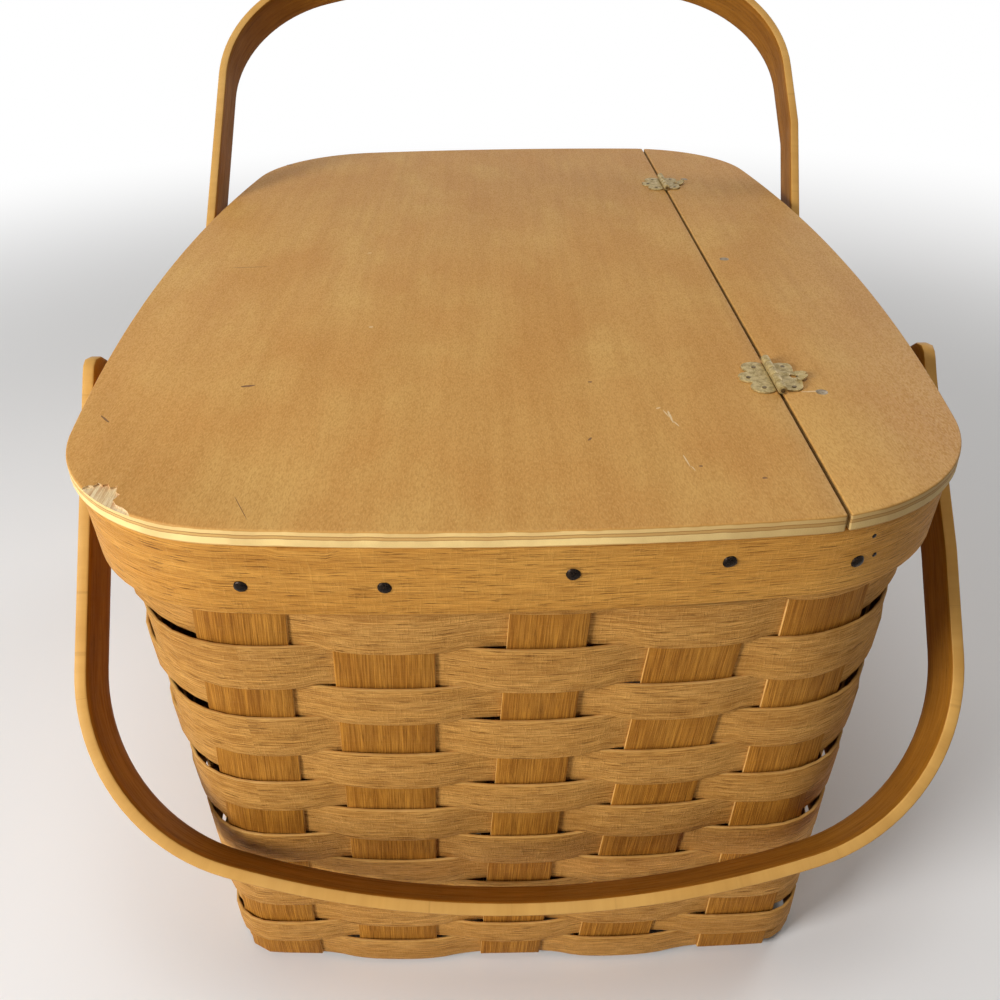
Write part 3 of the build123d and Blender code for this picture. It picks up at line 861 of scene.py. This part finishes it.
# WEAR OF THE LID. The veneer has broken away at the front left corner, which bares pale torn
# splinters, and the stained top has small dents, specks and scratches, some dark, some pale.
# Torn birch, bare: cream splinters with a few brown ones, matt
torn_veneer = splint_wood(
    "torn_birch_veneer", "#ecd2a0", "#b5763c", "#f4e4c2", "#9a5a2c",
    {
        "bands": (40, 1.6, 0.48, 0.60), "patches": (12, 3, 0.45, 0.70),
        "fibres": (14, 0.5, 0.42, 0.66), "ripple": (4, 6, 0.50, 0.75),
        "dashes": (14, 0.8, 0.60, 0.70),
    },
    {"bands": 0.65, "patches": 0.4, "fibres": 0.35, "ripple": 0.1, "dashes": 0.6},
    (0.6, 0.75), 0.15, source="Object",
)
chip_depth = 0.75
chip_outline = (
    (-143, -215), (-137.2, -210.6), (-135.6, -210.8), (-134.6, -208.9), (-132.6, -210.6),
    (-131.2, -209.6), (-129.6, -212.2), (-127.6, -210.8), (-126.9, -215.0), (-125.2, -216.6),
    (-126.4, -219.8), (-124.6, -222.6), (-121.9, -224.4), (-119.8, -226.6), (-118.4, -229.0),
    (-118.4, -240), (-143, -240),
)
bpy.ops.object.select_all(action="DESELECT")
bpy.ops.mesh.primitive_circle_add(
    vertices=len(chip_outline), radius=0.01, fill_type="NGON"
)
chip = bpy.context.object
chip.data.materials.append(torn_veneer)
for vertex, (x, y) in zip(chip.data.vertices, chip_outline):
    vertex.co = (x * mm, y * mm, (lid_top - chip_depth) * mm)
bpy.ops.object.mode_set(mode="EDIT")
bpy.ops.mesh.select_all(action="SELECT")
bpy.ops.mesh.extrude_region_move(TRANSFORM_OT_translate={"value": (0, 0, 3 * mm)})
bpy.ops.mesh.select_all(action="SELECT")
bpy.ops.mesh.normals_make_consistent(inside=False)
bpy.ops.object.mode_set(mode="OBJECT")
bpy.ops.object.select_all(action="DESELECT")
lid_leaf.select_set(True)
bpy.context.view_layer.objects.active = lid_leaf
tear = lid_leaf.modifiers.new("torn corner", "BOOLEAN")
tear.operation = "DIFFERENCE"
tear.solver = "EXACT"
tear.material_mode = "TRANSFER"
tear.object = chip
bpy.ops.object.modifier_apply(modifier="torn corner")
# the torn edge is sharp, so that the flat top keeps its own normals
bpy.ops.object.shade_smooth_by_angle(angle=radians(40))
bpy.data.objects.remove(chip)


def plain_stain(name, colour, roughness, fleck):
    """A stain or bare spot whose tone varies by flecks of a size in mm."""
    material, shader = new_material(name)
    place = add_node(material, "ShaderNodeTexCoord").outputs["Object"]
    spots = add_node(
        material, "ShaderNodeTexNoise", {"Vector": place, "Scale": 1 / (fleck * mm), "Detail": 3}
    ).outputs[0]
    tone = add_node(
        material, "ShaderNodeMix", {0: spots, 6: linear(colour[0]), 7: linear(colour[1])},
        data_type="RGBA",
    ).outputs[2]
    material.node_tree.links.new(tone, shader.inputs["Base Color"])
    shader.inputs["Roughness"].default_value = roughness
    return material


# dirt pressed into dents, matt brown, and bared veneer in scratches, matt and pale
dark_stain = plain_stain("dirt_in_a_dent", ("#5f3c1c", "#8d602f"), 0.7, 0.8)
pale_scratch = plain_stain("bared_veneer", ("#e8cda0", "#d3b07a"), 0.7, 0.8)
mark_lift = 0.02
# marks as (x, y, length, width, angle from X) on the lid's top
dark_marks = (
    (-146.8, -164.1, 7.0, 0.8, -50), (-100.5, -138.6, 5.0, 1.6, 10), (-141.6, 205.2, 4.0, 2.4, 0),
    (-127.0, -1.5, 20.0, 0.5, 3), (30.1, -140.2, 1.6, 1.2, 0), (60.6, -205.0, 1.4, 1.1, 0),
    (79.5, -213.2, 1.6, 1.2, 0), (26.1, -185.4, 2.6, 0.9, 60), (-85.0, -226.0, 14.5, 0.25, -64),
)
# the last of the pale marks lies on the fixed strip
pale_marks = (
    (56.1, -169.7, 9.2, 0.8, -87), (54.9, -167.2, 5.5, 0.5, -76), (57.4, -175.5, 4.0, 0.6, -70),
    (56.5, -201.0, 8.0, 0.45, -83), (57.9, -206.5, 3.0, 0.4, -75), (-69.3, 17.5, 2.2, 1.2, 20),
    (-59.0, -81.9, 1.8, 1.2, 0), (52.8, -163.0, 2.0, 0.8, 30), (112.0, -151.6, 9.0, 0.7, 2),
)


def join_pieces(pieces, name, material):
    """Joins pieces in the mesh of the first, which gets a name and one material."""
    bpy.ops.object.select_all(action="DESELECT")
    for piece in pieces:
        piece.select_set(True)
    bpy.context.view_layer.objects.active = pieces[0]
    if len(pieces) > 1:
        bpy.ops.object.join()
    joined = pieces[0]
    joined.name = joined.data.name = name
    joined.data.materials.clear()
    joined.data.materials.append(material)
    return joined


def surface_marks(name, body, marks, material):
    """Thin ovals lying on the lid, joined in one mesh."""
    made = []
    for x, y, length, width, angle in marks:
        bpy.ops.object.select_all(action="DESELECT")
        bpy.ops.mesh.primitive_circle_add(vertices=20, radius=1, fill_type="NGON")
        spot = bpy.context.object
        way = radians(angle)
        for vertex in spot.data.vertices:
            ragged = 1 + 0.35 * noise.noise(Vector((vertex.co.x * 2, vertex.co.y * 2, x)))
            u, v = vertex.co.x * length / 2 * ragged, vertex.co.y * width / 2 * ragged
            vertex.co = (
                (x + u * cos(way) - v * sin(way)) * mm,
                (y + u * sin(way) + v * cos(way)) * mm,
                (lid_top + mark_lift) * mm,
            )
        made.append(spot)
    joined = join_pieces(made, name, material)
    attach(joined, body)


surface_marks("lid_dark_marks", "lid", dark_marks, dark_stain)
surface_marks("lid_pale_marks", "lid", pale_marks[:-1], pale_scratch)
surface_marks("strip_pale_marks", "basket", pale_marks[-1:], pale_scratch)

# HINGES. Two stamped brass hinges with lobed leaves, five knuckles rolled round a pin, and
# small brass nails. The brass is tarnished to a dull grey green with paler worn spots.
tarnished_brass = worn_metal(
    "tarnished_brass", "#b39a62", "#8b7646", "#d6c28a", 0.35, (0.40, 0.65), 2.5
)
dark_brass = worn_metal("brass_pin", "#6e5a38", "#4b3d26", "#8c7850", 0.8, (0.35, 0.6), 1.5)
hinge_places = {"front": -139.5, "back": 140.5}
leaf_thickness = 0.6
leaf_rounding = 0.12
leaf_level = 262.3
# a leaf ends this far from the hinge line, and its far end has a small pointed notch
barrel_side = 1.6
notch_depth = 1.3
notch_angle = 9
hinge_axis = 263.75
knuckle_radius = 1.7
knuckle_length = 5.3
knuckle_easing = 0.3
knuckle_step = 5.84
# a leaf's middle out from the hinge line, the radius of a hole there, and its lobes as (out
# from the hinge line, along it, radius)
leaf_shapes = {
    "lid_leaf": (
        5.2, 0.0, ((5.4, -8.6, 5.0), (5.4, 8.6, 5.0), (9.0, 0.0, 4.4), (5.0, 0.0, 6.0))
    ),
    "strip_leaf": (
        7.6, 1.5, ((5.0, -8.2, 4.2), (5.0, 8.2, 4.2), (9.2, 0.0, 3.8), (4.6, 0.0, 5.4))
    ),
}


def leaf_reach(lobes, middle, angle):
    """How far a leaf's outline stands from a middle point, in a direction."""
    way_x, way_y = cos(angle), sin(angle)
    reach = 0.0
    for lobe_x, lobe_y, radius in lobes:
        off_x, off_y = middle - lobe_x, -lobe_y
        half = off_x * way_x + off_y * way_y
        inside = half**2 - (off_x**2 + off_y**2 - radius**2)
        if inside > 0:
            reach = max(reach, -half + sqrt(inside))
    if way_x < 0:
        reach = min(reach, (middle - barrel_side) / -way_x)
    notch = max(0.0, 1 - abs(degrees(atan2(way_y, way_x))) / notch_angle)
    return reach - notch_depth * notch


for end, along in hinge_places.items():
    for part, sense, body, knuckles in (
        ("lid_leaf", -1, "lid", (-1, 1)), ("strip_leaf", 1, "basket", (-2, 0, 2)),
    ):
        middle, eye, lobes = leaf_shapes[part]

        def spot(angle, share, lobes=lobes, middle=middle, eye=eye, sense=sense, along=along):
            reach = leaf_reach(lobes, middle, angle)
            distance = eye + (reach - eye) * share
            out = middle + distance * cos(angle)
            side = distance * sin(angle)
            stray = noise.noise(Vector((out * 0.35, side * 0.35, along)))
            lift = 0.05 + 0.25 * abs(stray)
            # the leaf on the strip has a lifted tip
            if sense > 0:
                lift += 1.3 * max(0.0, (out - 8) / 5) ** 1.5 + 0.5 * max(0.0, stray)
            return hinge_line + sense * out, along + side, leaf_level + lift

        leaf = bent_strip(
            f"hinge_{end}_{part}_plate", spread(0, 2 * pi, 96), spread(0, 1, 5), spot,
            leaf_thickness, leaf_rounding, (tarnished_brass, tarnished_brass), closed=True,
        )
        parts = [leaf]
        for count in knuckles:
            bpy.ops.mesh.primitive_cylinder_add(
                vertices=28, radius=knuckle_radius * mm, depth=knuckle_length * mm,
                location=(hinge_line * mm, (along + count * knuckle_step) * mm, hinge_axis * mm),
                rotation=(pi / 2, 0, 0),
            )
            knuckle = bpy.context.object
            ease_edges(knuckle, knuckle_easing, 2, 30, 40)
            parts.append(knuckle)
        join_pieces(parts, leaf.name, tarnished_brass)
        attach(leaf, body)
        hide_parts(f"hinge_{end}_{part}")
    finish_node(f"hinge_{end}_pin", dark_brass)
for part in ("lid", "strip"):
    finish_node(f"hinge_nails_{part}", dark_brass)

# TACKS, NAILS AND BRADS. Blued steel tacks with domed heads through the rim at the stakes,
# grey wire nails down through the lid strip, and two fine brads at each end of the batten.
# Blued steel is near black with a small highlight, and wire nails are a worn warm grey.
blued_steel = worn_metal(
    "blued_steel_tack", "#140e0a", "#1e150e", "#3a2a1c", 0.85, (0.2, 0.36), 1.5
)
grey_steel = worn_metal("grey_wire_nail", "#8a7a62", "#6c5d48", "#a89878", 0.8, (0.4, 0.6), 1.5)
tack_radius = 2.3
tack_height = 241.6
# front tacks and brads as (x, depth under the lid's top)
tack_depths = ((-86.4, 23.7), (-41.2, 22.8), (16.8, 18.1), (64.7, 15.7), (104.9, 21.0))
brad_depths = ((108.4, 11.9), (110.3, 20.2))
brad_radius = 0.85
strip_nail_radius = 2.4
strip_nails = ((109.2, -1.1), (115.1, -152.2), (114.8, 151.8))


def driven_heads(name, material, radius, height, places):
    """Domed heads, each on a place with the way that it faces, joined in one mesh."""
    heads = []
    for place, facing in places:
        bpy.ops.object.select_all(action="DESELECT")
        bpy.ops.mesh.primitive_uv_sphere_add(segments=18, ring_count=10, radius=1)
        head = bpy.context.object
        bpy.ops.object.mode_set(mode="EDIT")
        bpy.ops.mesh.select_all(action="SELECT")
        bpy.ops.mesh.bisect(
            plane_co=(0, 0, -0.3), plane_no=(0, 0, 1), use_fill=True, clear_inner=True
        )
        bpy.ops.object.mode_set(mode="OBJECT")
        turn = Vector(facing).to_track_quat("Z", "Y").to_matrix()
        for vertex in head.data.vertices:
            dent = 1 + 0.10 * noise.noise(vertex.co * 1.3 + Vector(place))
            flat = Vector((vertex.co.x * radius, vertex.co.y * radius, vertex.co.z * height))
            vertex.co = (turn @ (flat * dent) + Vector(place)) * mm
        bpy.ops.object.shade_smooth_by_angle(angle=radians(40))
        heads.append(head)
    joined = join_pieces(heads, f"{name}_heads", material)
    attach(joined, "basket")
    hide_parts(name)


def rim_place(turn, height):
    """A place on the outer rim's face, and the way that it faces."""
    face = rim_offset + rim_thickness / 2
    arcs = outline_at(height)
    here = Vector((*on_outline(arcs, turn, face), height))
    out = Vector((*on_outline(arcs, turn, face + 1), height)) - here
    return here, (out.x, out.y, -0.1)


tack_places = []
for x, depth in tack_depths:
    arcs = outline_at(lid_top - depth)
    tack_places.append(rim_place(turn_along_end(arcs, x), lid_top - depth))
arcs = outline_at(tack_height)
for x in long_places:
    tack_places.append(rim_place(2 - turn_along_end(arcs, x), tack_height))
# the side stakes at the handles' pivots have rivets and no tacks
for y in cross_places:
    if abs(y) != pivot_y:
        share = turn_along_side(arcs, y)
        tack_places += [rim_place(1 + share, tack_height), rim_place(3 - share, tack_height)]
driven_heads("rim_tacks", blued_steel, tack_radius, 1.0, tack_places)
brad_places = []
for x, depth in brad_depths:
    arcs = outline_at(lid_top - depth)
    turn = turn_along_end(arcs, x)
    brad_places += [rim_place(turn, lid_top - depth), rim_place(2 - turn, lid_top - depth)]
driven_heads("batten_brads", blued_steel, brad_radius, 0.2, brad_places)
nail_places = [(Vector((x, y, lid_top - 0.1)), (0, 0, 1)) for x, y in strip_nails]
driven_heads("strip_nails", grey_steel, strip_nail_radius, 0.35, nail_places)

# STAGE. A plain pale floor under the basket and a white world, which isn't part of the object.
bpy.ops.object.select_all(action="DESELECT")
bpy.ops.mesh.primitive_plane_add(size=8)
ground = bpy.context.object
ground.name = "floor"
# matt paper, nearly white
pale_floor, paper = new_material("matt_paper_floor")
paper.inputs["Base Color"].default_value = linear("#f2f1f0")
paper.inputs["Roughness"].default_value = 0.9
# beyond 0.55 m from the basket the floor fades into the white of the world
far = add_node(
    pale_floor, "ShaderNodeVectorMath",
    {0: add_node(pale_floor, "ShaderNodeTexCoord").outputs["Object"]}, operation="LENGTH",
).outputs["Value"]
fade = add_node(
    pale_floor, "ShaderNodeMapRange",
    {"Value": far, "From Min": 0.55, "From Max": 1.5}, interpolation_type="SMOOTHSTEP",
).outputs[0]
fade = add_node(
    pale_floor, "ShaderNodeMath",
    {0: fade, 1: add_node(pale_floor, "ShaderNodeLightPath").outputs["Is Camera Ray"]},
    operation="MULTIPLY",
).outputs[0]
backdrop = add_node(pale_floor, "ShaderNodeEmission", {"Color": linear("#ffffff")})
blend = add_node(
    pale_floor, "ShaderNodeMixShader",
    {0: fade, 1: paper.outputs[0], 2: backdrop.outputs[0]},
)
pale_floor.node_tree.links.new(
    blend.outputs[0], pale_floor.node_tree.nodes["Material Output"].inputs["Surface"]
)
ground.data.materials.append(pale_floor)

# LIGHT. A soft key lamp at the front left, one above and a weak one behind, in a pale world
# that camera, glossy and transmission rays see as white.
world = bpy.data.worlds.new("studio")
bpy.context.scene.world = world
world.use_nodes = True
for node in list(world.node_tree.nodes):
    world.node_tree.nodes.remove(node)
path = add_node(world, "ShaderNodeLightPath")
seen = add_node(
    world, "ShaderNodeMath",
    {0: path.outputs["Is Camera Ray"], 1: path.outputs["Is Glossy Ray"]}, operation="MAXIMUM",
)
seen = add_node(
    world, "ShaderNodeMath",
    {0: seen.outputs[0], 1: path.outputs["Is Transmission Ray"]}, operation="MAXIMUM",
)
fill = add_node(world, "ShaderNodeBackground", {"Color": linear("#f4f3f1"), "Strength": 0.13})
white = add_node(world, "ShaderNodeBackground", {"Color": linear("#ffffff"), "Strength": 1.0})
sky = add_node(
    world, "ShaderNodeMixShader", {0: seen.outputs[0], 1: fill.outputs[0], 2: white.outputs[0]}
)
add_node(world, "ShaderNodeOutputWorld", {"Surface": sky.outputs[0]})
for name, place, aim, size, power in (
    ("key_lamp", (-1.2, -1.0, 0.75), (0, -0.1, 0.2), 0.55, 24),
    ("top_lamp", (-0.1, -0.3, 1.7), (0, 0, 0.2), 0.9, 8.0),
    ("back_lamp", (1.2, 1.0, 1.0), (0, 0, 0.15), 0.7, 6),
):
    lamp = bpy.data.lights.new(name, "AREA")
    lamp.shape = "DISK"
    lamp.size = size
    lamp.energy = power
    holder = bpy.data.objects.new(name, lamp)
    bpy.context.scene.collection.objects.link(holder)
    holder.location = place
    holder.rotation_euler = (Vector(aim) - Vector(place)).to_track_quat("-Z", "Y").to_euler()

# CAMERA. Where the photograph was taken from: close in front, looking down 32 degrees.
camera_place = (-0.006, -0.4864, 0.4268)
yaw, pitch, roll = radians(0.18), radians(32.1), radians(0.90)
ahead = Vector((sin(yaw) * cos(pitch), cos(yaw) * cos(pitch), -sin(pitch)))
level_right = Vector((cos(yaw), -sin(yaw), 0))
down = ahead.cross(level_right)
right = level_right * cos(roll) + down * sin(roll)
down = down * cos(roll) - level_right * sin(roll)
camera = bpy.data.cameras.new("camera")
camera.lens = 36
camera.sensor_width = 36
camera.clip_start = 0.01
camera_holder = bpy.data.objects.new("camera", camera)
bpy.context.scene.collection.objects.link(camera_holder)
turn = Matrix([right, -down, -ahead]).transposed().to_4x4()
camera_holder.matrix_world = Matrix.Translation(camera_place) @ turn
bpy.context.scene.camera = camera_holder
bpy.context.scene.view_settings.view_transform = "Standard"
